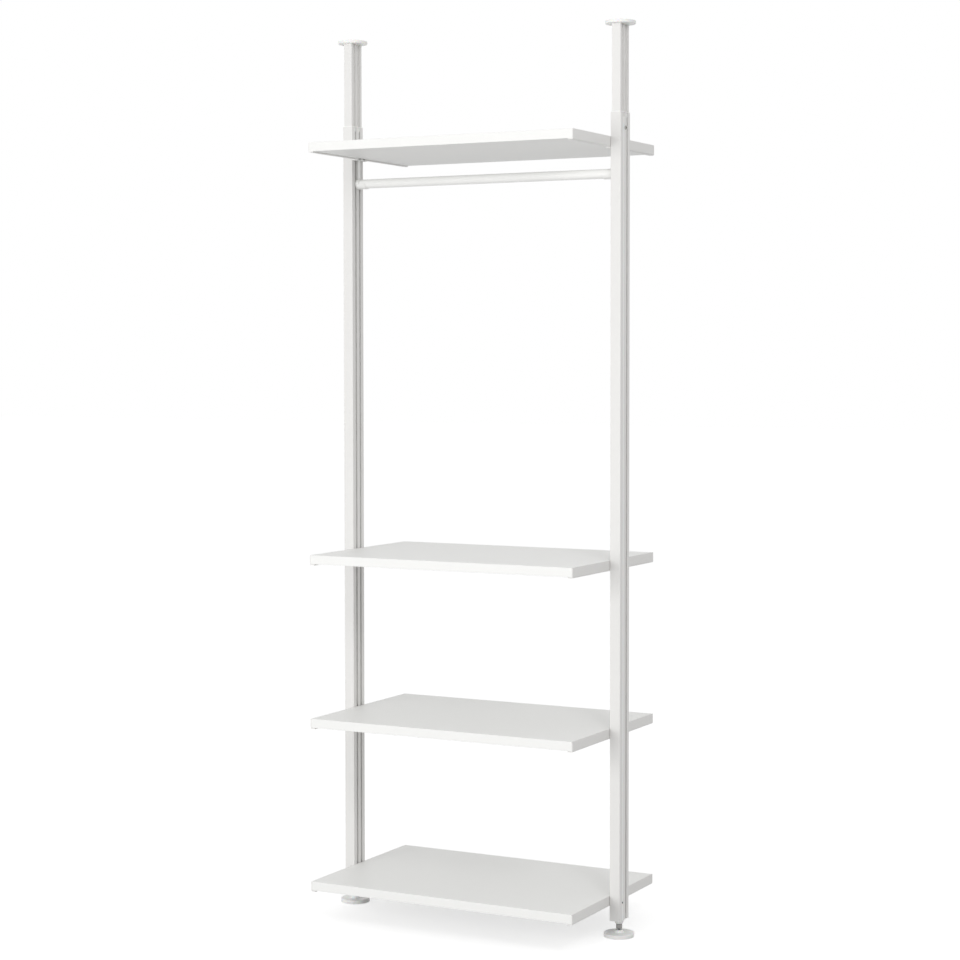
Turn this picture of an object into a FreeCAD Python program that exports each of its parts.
"""Shelf unit held between floor and ceiling by two telescopic posts.

FreeCAD macro, millimetres.  Frame: X along the shelves, Y to the back, +Z up, with the
origin on the floor midway between the two feet.  Every size is a cell of the sheet
"Sizes"; each sub-part is an object whose sizes and place are bound to those cells.
"""
import FreeCAD, Part

import math
import os

import Sketcher

Vector = FreeCAD.Vector

DRIVING_SIZES = [
    # overall layout
    ("overall_height", 2441, "floor to ceiling as stored"),
    ("post_pitch", 830, "centre to centre of the posts"),
    ("post_base", 45.5, "lower end of the posts above the floor"),
    ("post_shown", 231, "upper extrusion above the bush, as stored"),
    ("inner_post_length", 1650, "upper, sliding extrusion"),
    # outer extrusion
    ("post_wide", 30, "along the shelves"),
    ("post_deep", 58, "front to back"),
    ("post_corner", 1.5, "corner radius of both extrusions"),
    ("post_wall", 1.6, "front and back walls"),
    ("slot_pitch", 21, "between the two slots of a side"),
    ("slot_mouth", 8, "width of a slot at the face"),
    ("slot_cavity", 11, "width of a slot behind its lips"),
    ("slot_lip", 2, "thickness of the lips"),
    ("slot_depth", 4.5, "depth of the cavity behind the lips"),
    ("channel_wall", 1.4, "wall round a cavity"),
    ("centre_wall", 4, "side wall between the two slots"),
    # inner extrusion
    ("slide_gap", 0.4, "all round between the two extrusions"),
    ("inner_wall", 1.6, "walls of the inner extrusion"),
    # ends of the posts
    ("bush_thick", 2, "bush on top of the outer extrusion"),
    ("bush_gap", 0.3, "bush to the inner extrusion"),
    ("bush_peg", 12, "pegs of the bush in the slot ends"),
    ("glide_thick", 6, "glide under the inner extrusion"),
    ("spigot_length", 18, "spigots in the inner extrusion's core"),
    ("press_gap", 0.1, "between a plug and what it is pressed in"),
    ("clamp_drop", 40, "clamp screw below the top of the outer extrusion"),
    ("clamp_thread", 6, "clamp screw thread"),
    ("clamp_head", 10.5, "clamp screw head diameter"),
    ("clamp_head_high", 3.3, "clamp screw head height"),
    ("crown_share", 0.6, "flat top of the clamp screw's head over its diameter"),
    ("clamp_socket", 4, "hexagon socket across its flats"),
    ("clamp_socket_deep", 1.6, "hexagon socket"),
    ("screw_gap", 0.1, "on the diameter, between a screw and its hole"),
    # ceiling and floor plates
    ("plate_diameter", 82, "ceiling and floor plates"),
    ("ceiling_thick", 8, "ceiling plate"),
    ("foot_thick", 10.4, "floor plate at its rim"),
    ("rim_round", 2, "rounding of the plates' rims"),
    ("hub_radius", 10.5, "hub on the floor plate"),
    ("hub_flare", 2, "hub wider at its root than at its top"),
    ("hub_height", 17.5, "top of the hub above the floor"),
    ("journal_radius", 5.5, "flange at the end of the spindle, held in the hub"),
    ("journal_bottom", 7, "above the floor"),
    ("journal_thick", 4, "flange at the end of the spindle"),
    ("journal_gap", 0.1, "all round between the spindle's end and the hub"),
    ("neck_radius", 3.6, "spindle between its flange and its hexagon"),
    ("ceiling_screw_thread", 6, "screw through the ceiling plate"),
    # levelling foot
    ("stud_diameter", 10, "foot spindle thread"),
    ("stud_gap", 0.05, "radial, spindle in its insert"),
    ("stud_length", 54, "spindle above its hexagon"),
    ("hexagon_flats", 16, "across flats"),
    ("hexagon_bottom", 21, "above the floor"),
    ("hexagon_top", 34, "above the floor"),
    ("stud_bevel", 1, "at the upper end of the spindle"),
    ("boss_depth", 10.5, "boss of the foot plug below the post"),
    ("boss_collar", 3.5, "straight part of the boss below the post"),
    ("boss_top_radius", 13, "boss at the post"),
    ("boss_tip_radius", 10, "boss at its tip"),
    ("plug_length", 56, "foot plug inside the post"),
    ("insert_radius", 7, "threaded insert"),
    ("insert_length", 24, "threaded insert"),
    ("plug_screw_height", 48.5, "above the lower end of the post"),
    ("plug_screw_head", 6, "head diameter"),
    ("plug_screw_window", 6.6, "hole of the slot cover round the head"),
    ("plug_screw_thread", 4, "thread diameter"),
    ("plug_screw_sink", 0.5, "head below the face of the post"),
    ("plug_screw_grip", 10, "thread inside the plug"),
    ("cover_wing", 1, "slot cover behind the lips"),
    # shelves
    ("shelf_deep", 510, "front to back"),
    ("shelf_gap", 0.5, "shelf end to post"),
    ("board_thick", 25, "particle board"),
    ("board_edge", 1, "rounding of the long edges"),
    ("bottom_shelf_height", 112.5, "top face above the floor"),
    ("shelf_pitch", 450, "between the three lower shelves"),
    ("top_shelf_drop", 63.5, "top face below the top of the outer extrusion"),
    ("bracket_steel", 3, "thickness of the end brackets"),
    ("bracket_flange", 14, "width of the flange under the board"),
    ("bend_radius", 4, "outside of the bend"),
    ("hook_drop", 12, "hook screws below the top face"),
    ("hook_thread", 6, "hook screw diameter"),
    ("hook_slot_gap", 0.4, "on the diameter, hook screw in its slot of the bracket"),
    ("hook_head", 10, "hook screw head across its flats"),
    ("hook_head_high", 3, "hook screw head height"),
    ("hook_clear", 0.3, "between the screws, nuts and what slides past them"),
    ("recess_gap", 1, "round a screw head in the board"),
    ("nut_long", 22, "slot nut along its slot"),
    # clothes rail
    ("rail_drop", 96, "rail centre below the top shelf's top face"),
    ("rail_diameter", 25.6, "tube"),
    ("rail_wall", 1.2, "tube"),
    ("cup_gap", 0.2, "radial, rail in its cups"),
    ("cup_wall", 1.6, "wall of the cups"),
    ("cup_floor", 3, "closed end of the cups"),
    ("cup_length", 10.5, "full ring of the cups"),
    ("cradle_length", 21, "half ring beyond the cups"),
    ("cradle_bevel", 5, "bevel at the end of the half ring"),
    ("arm_wide", 8, "hanger arm along the shelf"),
    ("arm_deep", 6, "hanger arm front to back"),
    ("foot_plate_deep", 60, "plate under the flange, front to back"),
    ("foot_plate_thick", 2.5, "plate under the flange"),
    ("foot_plate_corner", 3.5, "rounding of its free corners"),
    # making
    ("cut_over", 1, "how far a cut starts or ends outside its piece"),
]


class Size:
    """A length that carries its value and the sheet expression it comes from."""

    def __init__(self, value, text):
        self.value = float(value)
        self.text = text

    @staticmethod
    def of(other):
        return other if isinstance(other, Size) else Size(other, repr(other))

    def __add__(self, other):
        other = Size.of(other)
        return Size(self.value + other.value, f"({self.text} + {other.text})")

    def __sub__(self, other):
        other = Size.of(other)
        return Size(self.value - other.value, f"({self.text} - {other.text})")

    def __mul__(self, other):
        other = Size.of(other)
        return Size(self.value * other.value, f"({self.text} * {other.text})")

    def __truediv__(self, other):
        other = Size.of(other)
        return Size(self.value / other.value, f"({self.text} / {other.text})")

    def __radd__(self, other):
        return Size.of(other) + self

    def __rsub__(self, other):
        return Size.of(other) - self

    def __rmul__(self, other):
        return Size.of(other) * self

    def __neg__(self):
        return Size(-self.value, f"(-1 * {self.text})")


ZERO = Size(0, "0")
SHEET_NAME = "Sizes"
PARALLEL = 0.9  # cosine over which an edge counts as lying along an axis
TOUCH = 1e-4    # distance under which a point counts as lying on a face

doc = FreeCAD.newDocument("TensionPoleShelfUnit")
sheet = doc.addObject("Spreadsheet::Sheet", SHEET_NAME)
size = {}
for row, (alias, value, meaning) in enumerate(DRIVING_SIZES, start=1):
    sheet.set(f"A{row}", alias)
    sheet.set(f"B{row}", str(value))
    sheet.set(f"C{row}", meaning)
    sheet.setAlias(f"B{row}", alias)
    size[alias] = Size(value, f"{SHEET_NAME}.{alias}")
doc.recompute()

nodes = []


# ---------------------------------------------------------------- modelling helpers

def bind(thing, prop, amount):
    """Set a property from a size, as an expression on the sheet."""
    thing.setExpression(prop, Size.of(amount).text)


def place(thing, x=ZERO, y=ZERO, z=ZERO):
    """Bind the place of a sub-part."""
    for axis, amount in zip("xyz", (x, y, z)):
        bind(thing, f"Placement.Base.{axis}", amount)


def new_body(name, node=True):
    body = doc.addObject("PartDesign::Body", name)
    body.Label = name
    body.AllowCompound = True
    if node:
        nodes.append(body)
    return body


def origin_plane(body, role):
    return [plane for plane in body.Origin.OriginFeatures if plane.Role == role][0]


def new_sketch(body, plane, shift=None):
    """A sketch on one of the body's own origin planes, moved along its normal."""
    drawing = body.newObject("Sketcher::SketchObject", "Sketch")
    drawing.AttachmentSupport = [(origin_plane(body, plane), "")]
    drawing.MapMode = "FlatFace"
    if shift is not None:
        bind(drawing, "AttachmentOffset.Base.z", shift)
    return drawing


def pin_point(drawing, edge, end, x, y):
    """Hold one sketch point at the sizes x and y from the sketch's origin."""
    for kind, amount, own_axis in (("DistanceX", x, -2), ("DistanceY", y, -1)):
        if amount.text == ZERO.text:
            drawing.addConstraint(Sketcher.Constraint("PointOnObject", edge, end, own_axis))
        else:
            rule = Sketcher.Constraint(kind, -1, 1, edge, end, amount.value)
            index = drawing.addConstraint(rule)
            drawing.setExpression(f"Constraints[{index}]", amount.text)


def polygon(drawing, corners):
    """A closed outline through corners given as pairs of sizes."""
    corners = [(Size.of(x), Size.of(y)) for x, y in corners]
    points = [Vector(x.value, y.value, 0) for x, y in corners]
    count = len(points)
    first = drawing.GeometryCount
    lines = [Part.LineSegment(points[i], points[(i + 1) % count]) for i in range(count)]
    drawing.addGeometry(lines, False)
    for i in range(count):
        after = first + (i + 1) % count
        drawing.addConstraint(Sketcher.Constraint("Coincident", first + i, 2, after, 1))
    for i, (x, y) in enumerate(corners):
        pin_point(drawing, first + i, 1, x, y)


def rectangle(drawing, x_low, y_low, x_high, y_high):
    polygon(drawing, [(x_low, y_low), (x_high, y_low), (x_high, y_high), (x_low, y_high)])


def circle(drawing, x, y, radius):
    x, y, radius = Size.of(x), Size.of(y), Size.of(radius)
    centre = Vector(x.value, y.value, 0)
    edge = drawing.addGeometry(Part.Circle(centre, Vector(0, 0, 1), radius.value), False)
    pin_point(drawing, edge, 3, x, y)
    rule = Sketcher.Constraint("Radius", edge, radius.value)
    drawing.setExpression(f"Constraints[{drawing.addConstraint(rule)}]", radius.text)


def arch(drawing, middle, half, bottom, spring):
    """An upright slot: straight sides from the bottom to the spring, then a half circle."""
    middle, left, right = Size.of(middle), middle - half, middle + half
    corners = [(left, spring), (left, bottom), (right, bottom), (right, spring)]
    points = [Vector(x.value, y.value, 0) for x, y in corners]
    first = drawing.GeometryCount
    lines = [Part.LineSegment(start, end) for start, end in zip(points, points[1:])]
    centre = Vector(middle.value, spring.value, 0)
    whole = Part.Circle(centre, Vector(0, 0, 1), half.value)
    drawing.addGeometry(lines + [Part.ArcOfCircle(whole, 0, math.pi)], False)
    roof = first + len(lines)
    for i in range(len(lines)):
        drawing.addConstraint(Sketcher.Constraint("Coincident", first + i, 2, first + i + 1, 1))
        pin_point(drawing, first + i, 1, *corners[i])
    drawing.addConstraint(Sketcher.Constraint("Coincident", roof, 2, first, 1))
    pin_point(drawing, roof, 1, right, spring)
    level = Sketcher.Constraint("DistanceY", -1, 1, roof, 3, spring.value)
    drawing.setExpression(f"Constraints[{drawing.addConstraint(level)}]", spring.text)


def pad(body, drawing, length, backwards=False, symmetric=False):
    feature = body.newObject("PartDesign::Pad", "Pad")
    feature.Profile = drawing
    feature.Reversed = backwards
    if symmetric:
        feature.SideType = "Symmetric"
    bind(feature, "Length", length)
    return feature


def pocket(body, drawing, length=None, backwards=False, symmetric=False):
    """Cut along the sketch's normal when backwards, against it otherwise."""
    feature = body.newObject("PartDesign::Pocket", "Pocket")
    feature.Profile = drawing
    feature.Reversed = backwards
    if symmetric:
        feature.SideType = "Symmetric"
    if length is None:
        feature.Type = "ThroughAll"
    else:
        bind(feature, "Length", length)
    return feature


def turn(body, drawing, kind, axis="V_Axis"):
    """Revolution or Groove of a half profile about an axis of its sketch."""
    feature = body.newObject(f"PartDesign::{kind}", kind)
    feature.Profile = drawing
    feature.ReferenceAxis = (drawing, [axis])
    feature.Angle = 360
    return feature


def edge_names(shape, wanted):
    """Names of the edges whose middle and direction satisfy the test."""
    names = []
    for number, edge in enumerate(shape.Edges, start=1):
        middle = edge.valueAt((edge.FirstParameter + edge.LastParameter) / 2)
        along = edge.tangentAt(edge.FirstParameter)
        if wanted(middle, along):
            names.append(f"Edge{number}")
    return names


def fillet(body, feature, radius, wanted):
    doc.recompute()
    rounding = body.newObject("PartDesign::Fillet", "Fillet")
    rounding.Base = (feature, edge_names(feature.Shape, wanted))
    bind(rounding, "Radius", radius)
    return rounding


def near(value, amount):
    return abs(value - Size.of(amount).value) < TOUCH


def group(name, pieces):
    """One node that holds several separate solids."""
    bundle = doc.addObject("Part::Compound", name)
    bundle.Label = name
    bundle.Links = pieces
    nodes.append(bundle)
    return bundle


def mirrored(source, name, normal):
    image = doc.addObject("Part::Mirroring", name)
    image.Source = source
    image.Normal = normal
    return image


def four_ways(source, name):
    """The source and its images across the two upright middle planes, as a pair of pairs."""
    back = mirrored(source, f"{name}_back", Vector(0, 1, 0))
    pair = doc.addObject("Part::Compound", f"{name}_pair")
    pair.Links = [source, back]
    other = mirrored(pair, f"{name}_other_end", Vector(1, 0, 0))
    return [pair, other]


# ---------------------------------------------------------------- shared derived sizes

post_centre = size["post_pitch"] / 2
half_wide = size["post_wide"] / 2
half_deep = size["post_deep"] / 2
slot_centre = size["slot_pitch"] / 2
lip_back = half_wide - size["slot_lip"]
cavity_floor = lip_back - size["slot_depth"]
void_side = half_wide - size["slot_lip"]
void_end = half_deep - size["post_wall"]
channel_floor = cavity_floor - size["channel_wall"]
channel_near = slot_centre - size["slot_cavity"] / 2 - size["channel_wall"]
channel_far = slot_centre + size["slot_cavity"] / 2 + size["channel_wall"]
void_centre = half_wide - size["centre_wall"]

inner_top = size["overall_height"] - size["ceiling_thick"]
inner_bottom = inner_top - size["inner_post_length"]
outer_top = inner_top - size["post_shown"] - size["bush_thick"]
outer_length = outer_top - size["post_base"]

core_side = channel_floor - size["slide_gap"] - size["inner_wall"]
core_end = channel_far + size["slide_gap"] - size["inner_wall"]
chamber_near = channel_far + size["slide_gap"] + size["inner_wall"]
chamber_far = void_end - size["slide_gap"] - size["inner_wall"]
chamber_side = void_side - size["slide_gap"] - size["inner_wall"]

shelf_half = post_centre - half_wide - size["shelf_gap"]
board_half = shelf_half - size["bracket_steel"]
shelf_half_deep = size["shelf_deep"] / 2
flange_edge = shelf_half - size["bracket_flange"]
recess_side = size["hook_head"] / math.sqrt(3) + size["recess_gap"] / 2
recess_depth = size["hook_head_high"] + size["hook_clear"] * 2
post_face = post_centre - half_wide
over = size["cut_over"]

bottom_shelf_height = size["bottom_shelf_height"]
lower_shelf_height = bottom_shelf_height + size["shelf_pitch"]
middle_shelf_height = lower_shelf_height + size["shelf_pitch"]
top_shelf_height = outer_top - size["top_shelf_drop"]


def core_outline(gap):
    """Outline of the hollow between the slot channels, shrunk by a gap all round."""
    side = void_side - gap
    end = void_end - gap
    groove = channel_floor - gap
    rib = void_centre - gap
    near_wall = channel_near - gap
    far_wall = channel_far + gap
    quarter = [(side, end), (side, far_wall), (groove, far_wall), (groove, near_wall),
               (rib, near_wall)]
    right = [(x, -y) for x, y in quarter] + [(x, y) for x, y in reversed(quarter)]
    left = [(-x, y) for x, y in reversed(right)]
    return right + left


def slotted_outline():
    """Outline of the outer extrusion, with its two T-slots in each side."""
    half_mouth = size["slot_mouth"] / 2
    half_cavity = size["slot_cavity"] / 2
    right = [(half_wide, -half_deep)]
    for middle in (-slot_centre, slot_centre):
        right += [(half_wide, middle - half_mouth), (lip_back, middle - half_mouth),
                  (lip_back, middle - half_cavity), (cavity_floor, middle - half_cavity),
                  (cavity_floor, middle + half_cavity), (lip_back, middle + half_cavity),
                  (lip_back, middle + half_mouth), (half_wide, middle + half_mouth)]
    right.append((half_wide, half_deep))
    left = [(-x, y) for x, y in reversed(right)]
    return right + left


# ---------------------------------------------------------------- posts

def outer_post(side, name):
    """Lower extrusion: closed hollow profile with two T-slots in each side."""
    body = new_body(f"outer_post_{name}")
    section = new_sketch(body, "XY_Plane")
    polygon(section, slotted_outline())
    polygon(section, core_outline(ZERO))
    profile = pad(body, section, outer_length)
    fillet(body, profile, size["post_corner"],
           lambda at, along: near(abs(at.x), half_wide) and near(abs(at.y), half_deep)
           and abs(along.z) > PARALLEL)
    holes = new_sketch(body, "YZ_Plane")
    clamp_level = outer_length - size["clamp_drop"]
    clamp_hole = size["clamp_thread"] / 2 + size["screw_gap"] / 2
    circle(holes, ZERO, clamp_level, clamp_hole)
    plug_hole = size["plug_screw_thread"] / 2 + size["screw_gap"] / 2
    circle(holes, -slot_centre, size["plug_screw_height"], plug_hole)
    body.Tip = pocket(body, holes, half_wide + over, backwards=side > 0)
    place(body, side * post_centre, ZERO, size["post_base"])


def inner_post(side, name):
    """Upper extrusion: two hollow flanges and a ribbed web that clear the slot channels."""
    body = new_body(f"inner_post_{name}")
    section = new_sketch(body, "XY_Plane")
    polygon(section, core_outline(size["slide_gap"]))
    rectangle(section, -core_side, -core_end, core_side, core_end)
    rectangle(section, -chamber_side, chamber_near, chamber_side, chamber_far)
    rectangle(section, -chamber_side, -chamber_far, chamber_side, -chamber_near)
    profile = pad(body, section, size["inner_post_length"])
    edge_x = void_side - size["slide_gap"]
    edge_y = void_end - size["slide_gap"]
    fillet(body, profile, size["post_corner"],
           lambda at, along: near(abs(at.x), edge_x) and near(abs(at.y), edge_y)
           and abs(along.z) > PARALLEL)
    place(body, side * post_centre, ZERO, inner_bottom)


def post_bush(side, name):
    """Moulded bush on the outer extrusion, pegged into the ends of its slots."""
    body = new_body(f"post_bush_{name}")
    ring = new_sketch(body, "XY_Plane")
    rectangle(ring, -half_wide, -half_deep, half_wide, half_deep)
    polygon(ring, core_outline(size["slide_gap"] - size["bush_gap"]))
    rim = pad(body, ring, size["bush_thick"])
    fillet(body, rim, size["post_corner"],
           lambda at, along: near(abs(at.x), half_wide) and near(abs(at.y), half_deep)
           and abs(along.z) > PARALLEL)
    pegs = new_sketch(body, "XY_Plane")
    peg_half = size["slot_cavity"] / 2 - size["press_gap"]
    for x_sign in (-1, 1):
        for y_sign in (-1, 1):
            floor_x = x_sign * (cavity_floor + size["press_gap"])
            back_x = x_sign * (lip_back - size["press_gap"])
            middle = y_sign * slot_centre
            rectangle(pegs, floor_x, middle - peg_half, back_x, middle + peg_half)
    pad(body, pegs, size["bush_peg"], backwards=True)
    place(body, side * post_centre, ZERO, outer_top)


def clamp_screw(side, name):
    """Button head screw that holds the inner extrusion at its height."""
    body = new_body(f"clamp_screw_{name}", node=False)
    half = new_sketch(body, "XY_Plane")
    head = size["clamp_head"] / 2
    thread = size["clamp_thread"] / 2
    tip = void_centre - size["slide_gap"] + size["hook_clear"]
    crown = half_wide + size["clamp_head_high"]
    corners = [(tip, ZERO), (crown, ZERO), (crown, head * size["crown_share"]),
               (half_wide, head), (half_wide, thread), (tip, thread)]
    polygon(half, [(side * x, y) for x, y in corners])
    turn(body, half, "Revolution", "H_Axis")
    socket = new_sketch(body, "YZ_Plane", side * crown)
    hexagon(socket, size["clamp_socket"])
    pocket(body, socket, size["clamp_socket_deep"], backwards=side < 0)
    place(body, side * post_centre, ZERO, outer_top - size["clamp_drop"])
    return body


def hexagon(drawing, flats):
    """Regular hexagon about the sketch's origin, by its width across flats."""
    corner = flats / math.sqrt(3)
    corners = [(corner, ZERO), (corner / 2, flats / 2), (-corner / 2, flats / 2),
               (-corner, ZERO), (-corner / 2, -flats / 2), (corner / 2, -flats / 2)]
    polygon(drawing, corners)


def inner_glide(side, name):
    """Moulded glide that closes the lower end of the inner extrusion."""
    body = new_body(f"inner_glide_{name}")
    shoe = new_sketch(body, "XY_Plane")
    polygon(shoe, core_outline(size["bush_gap"]))
    pad(body, shoe, size["glide_thick"], backwards=True)
    spigot = new_sketch(body, "XY_Plane")
    gap = size["press_gap"]
    rectangle(spigot, -core_side + gap, -core_end + gap, core_side - gap, core_end - gap)
    pad(body, spigot, size["spigot_length"])
    place(body, side * post_centre, ZERO, inner_bottom)


def top_plug(side, name):
    """Plug in the upper end of the inner extrusion, which takes the ceiling screw."""
    body = new_body(f"top_plug_{name}")
    block = new_sketch(body, "XY_Plane")
    gap = size["press_gap"]
    rectangle(block, -core_side + gap, -core_end + gap, core_side - gap, core_end - gap)
    circle(block, ZERO, ZERO, size["ceiling_screw_thread"] / 2 + size["screw_gap"] / 2)
    pad(body, block, size["spigot_length"], backwards=True)
    place(body, side * post_centre, ZERO, inner_top)


def ceiling_plate(side, name):
    """Round plate against the ceiling, countersunk for its screw."""
    body = new_body(f"ceiling_plate_{name}")
    half = new_sketch(body, "XZ_Plane")
    rim = size["plate_diameter"] / 2
    hole = size["ceiling_screw_thread"] / 2 + size["screw_gap"] / 2
    sink = size["ceiling_screw_thread"] + size["screw_gap"] / 2 + size["press_gap"]
    thick = size["ceiling_thick"]
    polygon(half, [(hole, ZERO), (rim - size["rim_round"], ZERO), (rim, thick / 2),
                   (rim, thick), (sink, thick), (hole, thick - sink + hole)])
    turn(body, half, "Revolution")
    place(body, side * post_centre, ZERO, inner_top)


def ceiling_screw(side, name):
    """Countersunk screw from the ceiling plate into the top plug."""
    body = new_body(f"ceiling_screw_{name}")
    half = new_sketch(body, "XZ_Plane")
    radius = size["ceiling_screw_thread"] / 2
    head = size["ceiling_screw_thread"]
    flush = size["ceiling_thick"] - size["press_gap"]
    tip = -size["spigot_length"]
    polygon(half, [(ZERO, tip), (radius, tip), (radius, flush - head + radius),
                   (head, flush), (ZERO, flush)])
    turn(body, half, "Revolution")
    place(body, side * post_centre, ZERO, inner_top)


# ---------------------------------------------------------------- levelling feet

def foot_plug(side, name):
    """Moulded plug in the lower end of a post, with the boss that holds the insert."""
    body = new_body(f"foot_plug_{name}")
    core = new_sketch(body, "XY_Plane")
    polygon(core, core_outline(size["press_gap"]))
    pad(body, core, size["plug_length"])
    boss = new_sketch(body, "XZ_Plane")
    depth = size["boss_depth"]
    root = size["boss_top_radius"]
    polygon(boss, [(ZERO, ZERO), (ZERO, -depth), (size["boss_tip_radius"], -depth),
                   (root, -size["boss_collar"]), (root, ZERO)])
    turn(body, boss, "Revolution")
    bore = new_sketch(body, "XY_Plane", -depth - over)
    circle(bore, ZERO, ZERO, size["insert_radius"] + size["press_gap"] / 2)
    pocket(body, bore, depth + size["plug_length"] + over * 2, backwards=True)
    pilot = new_sketch(body, "YZ_Plane", side * (channel_floor - size["plug_screw_grip"]))
    circle(pilot, -slot_centre, size["plug_screw_height"],
           size["plug_screw_thread"] / 2 + size["screw_gap"] / 2)
    pocket(body, pilot, size["plug_screw_grip"] + over, backwards=side > 0)
    place(body, side * post_centre, ZERO, size["post_base"])


def foot_insert(side, name):
    """Threaded insert in the boss of the foot plug."""
    body = new_body(f"foot_insert_{name}", node=False)
    ring = new_sketch(body, "XY_Plane")
    circle(ring, ZERO, ZERO, size["insert_radius"])
    circle(ring, ZERO, ZERO, size["stud_diameter"] / 2 + size["stud_gap"])
    pad(body, ring, size["insert_length"])
    place(body, side * post_centre, ZERO, size["post_base"] - size["boss_depth"])
    return body


def plug_screw(side, name):
    """Screw in the front outer slot, through the slot's floor into the foot plug."""
    body = new_body(f"plug_screw_{name}", node=False)
    half = new_sketch(body, "XY_Plane")
    head = size["plug_screw_head"] / 2
    thread = size["plug_screw_thread"] / 2
    face = half_wide - size["plug_screw_sink"]
    tip = channel_floor - size["plug_screw_grip"] + size["press_gap"]
    corners = [(tip, ZERO), (face, ZERO), (face, head), (cavity_floor, head),
               (cavity_floor, thread), (tip, thread)]
    polygon(half, [(side * x, y) for x, y in corners])
    turn(body, half, "Revolution", "H_Axis")
    place(body, side * post_centre, -slot_centre,
          size["post_base"] + size["plug_screw_height"])
    return body


def slot_cover(side, name):
    """Moulded strip that closes the front outer slot, with a window for the plug screw."""
    body = new_body(f"slot_cover_{name}")
    section = new_sketch(body, "XY_Plane")
    gap = size["press_gap"]
    strip = size["slot_mouth"] / 2 - gap
    wing = size["slot_cavity"] / 2 - gap
    behind = lip_back - gap
    inner = behind - size["cover_wing"]
    half = [(half_wide, strip), (behind, strip), (behind, wing), (inner, wing)]
    outline = half + [(x, -y) for x, y in reversed(half)]
    polygon(section, [(side * x, y - slot_centre) for x, y in outline])
    pad(body, section, outer_length - size["bush_peg"] - gap)
    window = new_sketch(body, "YZ_Plane")
    circle(window, -slot_centre, size["plug_screw_height"], size["plug_screw_window"] / 2)
    body.Tip = pocket(body, window, half_wide + over, backwards=side > 0)
    place(body, side * post_centre, ZERO, size["post_base"])


def foot_spindle(side, name):
    """Threaded stud with its hexagon, neck and the flanged journal at its lower end."""
    body = new_body(f"foot_spindle_{name}")
    half = new_sketch(body, "XZ_Plane")
    stud = size["stud_diameter"] / 2
    neck = size["neck_radius"]
    flange = size["journal_radius"]
    base = size["journal_bottom"]
    shoulder = base + size["journal_thick"]
    low = size["hexagon_bottom"]
    high = size["hexagon_top"]
    top = high + size["stud_length"]
    bevel = size["stud_bevel"]
    polygon(half, [(ZERO, base), (flange, base), (flange, shoulder), (neck, shoulder),
                   (neck, low), (stud, low), (stud, top - bevel), (stud - bevel, top),
                   (ZERO, top)])
    turn(body, half, "Revolution")
    collar = new_sketch(body, "XY_Plane", low)
    hexagon(collar, size["hexagon_flats"])
    pad(body, collar, high - low)
    place(body, side * post_centre, ZERO, ZERO)


def foot_plate(side, name):
    """Round floor plate whose hub holds the flanged end of the spindle."""
    body = new_body(f"foot_plate_{name}")
    half = new_sketch(body, "XZ_Plane")
    rim = size["plate_diameter"] / 2
    hub = size["hub_radius"]
    thick = size["foot_thick"]
    high = size["hub_height"]
    rounding = size["rim_round"]
    polygon(half, [(ZERO, ZERO), (rim, ZERO), (rim, thick - rounding),
                   (rim - rounding, thick), (hub + size["hub_flare"], thick), (hub, high),
                   (ZERO, high)])
    turn(body, half, "Revolution")
    seat = new_sketch(body, "XZ_Plane")
    gap = size["journal_gap"]
    flange = size["journal_radius"] + gap
    neck = size["neck_radius"] + gap
    base = size["journal_bottom"] - gap
    shoulder = size["journal_bottom"] + size["journal_thick"] + gap
    polygon(seat, [(ZERO, base), (flange, base), (flange, shoulder), (neck, shoulder),
                   (neck, high + over), (ZERO, high + over)])
    turn(body, seat, "Groove")
    place(body, side * post_centre, ZERO, ZERO)


# ---------------------------------------------------------------- shelves

def shelf_board(name, height):
    """Particle board, recessed at its ends for the heads of the hook screws."""
    body = new_body(f"{name}_board")
    under = -size["board_thick"]
    outline = new_sketch(body, "XY_Plane", under)
    rectangle(outline, -board_half, -shelf_half_deep, board_half, shelf_half_deep)
    panel = pad(body, outline, size["board_thick"])
    fillet(body, panel, size["board_edge"],
           lambda at, along: near(abs(at.y), shelf_half_deep) and abs(along.x) > PARALLEL)
    recess = new_sketch(body, "XY_Plane", under)
    reach = board_half - recess_depth
    for x_sign in (-1, 1):
        for y_sign in (-1, 1):
            middle = y_sign * slot_centre
            rectangle(recess, x_sign * reach, middle - recess_side,
                      x_sign * board_half, middle + recess_side)
    roof = size["board_thick"] - size["hook_drop"] + recess_side
    body.Tip = pocket(body, recess, roof, backwards=True)
    place(body, ZERO, ZERO, height)


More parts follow.
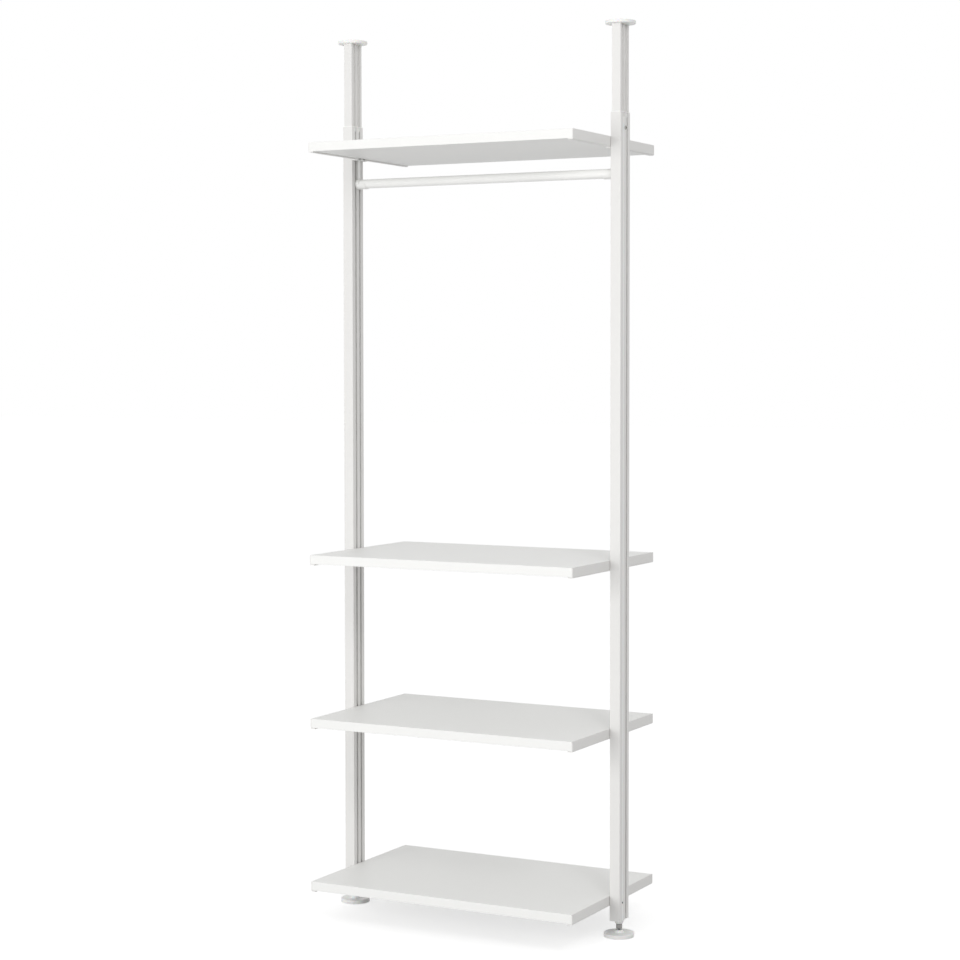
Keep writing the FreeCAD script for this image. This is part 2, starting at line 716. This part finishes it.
def shelf_bracket(name, side, end, height):
    """Bent steel angle at a shelf end, slotted from below to drop over its screws."""
    body = new_body(f"{name}_bracket_{end}")
    steel = size["bracket_steel"]
    under = -size["board_thick"] - steel
    section = new_sketch(body, "XZ_Plane")
    corners = [(shelf_half, ZERO), (board_half, ZERO), (board_half, under + steel),
               (flange_edge, under + steel), (flange_edge, under), (shelf_half, under)]
    polygon(section, [(side * x, z) for x, z in corners])
    angle = pad(body, section, size["shelf_deep"], symmetric=True)
    fillet(body, angle, size["bend_radius"],
           lambda at, along: near(abs(at.x), shelf_half) and near(at.z, under)
           and abs(along.y) > PARALLEL)
    hooks = new_sketch(body, "YZ_Plane")
    half_slot = size["hook_thread"] / 2 + size["hook_slot_gap"] / 2
    for y_sign in (-1, 1):
        arch(hooks, y_sign * slot_centre, half_slot, under - over, -size["hook_drop"])
    pocket(body, hooks, shelf_half + over, backwards=side > 0)
    notches = new_sketch(body, "XY_Plane", under - over)
    for y_sign in (-1, 1):
        middle = y_sign * slot_centre
        rectangle(notches, side * (flange_edge - over), middle - recess_side,
                  side * board_half, middle + recess_side)
    body.Tip = pocket(body, notches, steel + over * 2, backwards=True)
    place(body, ZERO, ZERO, height)


def hook_screws(name, height):
    """Four screws in the slot nuts: the bracket drops over them, the board hides their heads."""
    body = new_body(f"{name}_hook_screw", node=False)
    head_face = board_half - size["hook_clear"]
    tip = post_face + size["slot_lip"] + size["slot_depth"] - size["hook_clear"]
    head = new_sketch(body, "YZ_Plane", head_face)
    hexagon(head, size["hook_head"])
    pad(body, head, size["hook_head_high"], backwards=True)
    shank = new_sketch(body, "YZ_Plane", head_face)
    circle(shank, ZERO, ZERO, size["hook_thread"] / 2)
    pad(body, shank, tip - head_face)
    place(body, ZERO, slot_centre, -size["hook_drop"])
    screws = group(f"{name}_hook_screws", four_ways(body, f"{name}_hook_screw"))
    place(screws, ZERO, ZERO, height)


def slot_nuts(name, height):
    """Four T-shaped nuts that ride in the slots of the posts."""
    body = new_body(f"{name}_slot_nut", node=False)
    gap = size["hook_clear"]
    neck = size["slot_mouth"] / 2 - gap
    wing = size["slot_cavity"] / 2 - gap
    face = post_face + gap
    lip = post_face + size["slot_lip"] + gap
    floor = post_face + size["slot_lip"] + size["slot_depth"] - gap
    section = new_sketch(body, "XY_Plane")
    polygon(section, [(face, -neck), (lip, -neck), (lip, -wing), (floor, -wing),
                      (floor, wing), (lip, wing), (lip, neck), (face, neck)])
    pad(body, section, size["nut_long"], symmetric=True)
    bore = new_sketch(body, "YZ_Plane", face - over)
    circle(bore, ZERO, ZERO, size["hook_thread"] / 2 + size["screw_gap"] / 2)
    pocket(body, bore, floor - face + over * 2, backwards=True)
    place(body, ZERO, slot_centre, -size["hook_drop"])
    nuts = group(f"{name}_slot_nuts", four_ways(body, f"{name}_slot_nut"))
    place(nuts, ZERO, ZERO, height)


def shelf(name, height):
    """A complete shelf: board, two brackets and the fixing to the posts."""
    shelf_board(name, height)
    shelf_bracket(name, -1, "left", height)
    shelf_bracket(name, 1, "right", height)
    hook_screws(name, height)
    slot_nuts(name, height)


# ---------------------------------------------------------------- clothes rail

rail_level = top_shelf_height - size["rail_drop"]
flange_under = top_shelf_height - size["board_thick"] - size["bracket_steel"]
rail_half = shelf_half - size["cup_floor"] - size["hook_clear"]
cup_bore = size["rail_diameter"] / 2 + size["cup_gap"]
cup_radius = cup_bore + size["cup_wall"]


def clothes_rail():
    """Round tube under the top shelf."""
    body = new_body("clothes_rail")
    ring = new_sketch(body, "YZ_Plane")
    circle(ring, ZERO, ZERO, size["rail_diameter"] / 2)
    circle(ring, ZERO, ZERO, size["rail_diameter"] / 2 - size["rail_wall"])
    pad(body, ring, rail_half * 2, symmetric=True)
    place(body, ZERO, ZERO, rail_level)


def rail_hanger(side, name):
    """Casting that hangs a rail end: foot plate, arm, closed cup and open cradle."""
    body = new_body(f"rail_hanger_{name}")
    cup_face = shelf_half - size["cup_length"]
    disc = new_sketch(body, "YZ_Plane", side * cup_face)
    circle(disc, ZERO, ZERO, cup_radius)
    pad(body, disc, size["cup_length"], backwards=side < 0)
    cradle_end = cup_face - size["cradle_length"]
    cradle = new_sketch(body, "YZ_Plane", side * cradle_end)
    circle(cradle, ZERO, ZERO, cup_radius)
    pad(body, cradle, size["cradle_length"], backwards=side < 0)
    bore = new_sketch(body, "YZ_Plane", side * (cradle_end - over))
    circle(bore, ZERO, ZERO, cup_bore)
    depth = size["cradle_length"] + over + size["cup_length"] - size["cup_floor"]
    pocket(body, bore, depth, backwards=side > 0)
    opening = new_sketch(body, "XZ_Plane")
    bevel = size["cradle_bevel"]
    corners = [(cradle_end - over, cup_radius + over), (cradle_end - over, -bevel),
               (cradle_end, -bevel), (cradle_end + bevel, ZERO), (cup_face, ZERO),
               (cup_face, cup_radius + over)]
    polygon(opening, [(side * x, z) for x, z in corners])
    pocket(body, opening, (cup_radius + over) * 2, symmetric=True)
    arm_side = shelf_half - size["arm_wide"]
    top = flange_under - rail_level
    arm = new_sketch(body, "XY_Plane", cup_bore + size["cup_wall"] / 2)
    rectangle(arm, side * arm_side, -size["arm_deep"] / 2,
              side * shelf_half, size["arm_deep"] / 2)
    pad(body, arm, top - cup_bore - size["cup_wall"] / 2)
    foot = new_sketch(body, "XY_Plane", top)
    rectangle(foot, side * flange_edge, -size["foot_plate_deep"] / 2,
              side * shelf_half, size["foot_plate_deep"] / 2)
    plate = pad(body, foot, size["foot_plate_thick"], backwards=True)
    fillet(body, plate, size["foot_plate_corner"],
           lambda at, along: near(abs(at.x), flange_edge)
           and near(abs(at.y), size["foot_plate_deep"] / 2) and abs(along.z) > PARALLEL)
    place(body, ZERO, ZERO, rail_level)


# ---------------------------------------------------------------- assembly

SIDES = ((-1, "left"), (1, "right"))

for side, name in SIDES:
    outer_post(side, name)
    inner_post(side, name)
    post_bush(side, name)
    inner_glide(side, name)
    top_plug(side, name)
    ceiling_plate(side, name)
    ceiling_screw(side, name)
    foot_plug(side, name)
    slot_cover(side, name)
    foot_spindle(side, name)
    foot_plate(side, name)
group("clamp_screws", [clamp_screw(side, name) for side, name in SIDES])
group("foot_inserts", [foot_insert(side, name) for side, name in SIDES])
group("plug_screws", [plug_screw(side, name) for side, name in SIDES])

shelf("bottom_shelf", bottom_shelf_height)
shelf("lower_shelf", lower_shelf_height)
shelf("middle_shelf", middle_shelf_height)
shelf("top_shelf", top_shelf_height)

clothes_rail()
for side, name in SIDES:
    rail_hanger(side, name)

doc.recompute()

# ---------------------------------------------------------------- checks and files

for thing in doc.Objects:
    if "Invalid" in thing.State or "Error" in thing.State:
        raise RuntimeError(f"{thing.Label} failed: {thing.State}")
for node in nodes:
    if node.Shape.isNull() or not node.Shape.isValid() or not node.Shape.Solids:
        raise RuntimeError(f"{node.Label} has no sound shape")

os.makedirs("parts", exist_ok=True)
for node in nodes:
    node.Shape.exportStep(f"parts/{node.Label}.step")
print(f"{len(nodes)} sub-parts written")
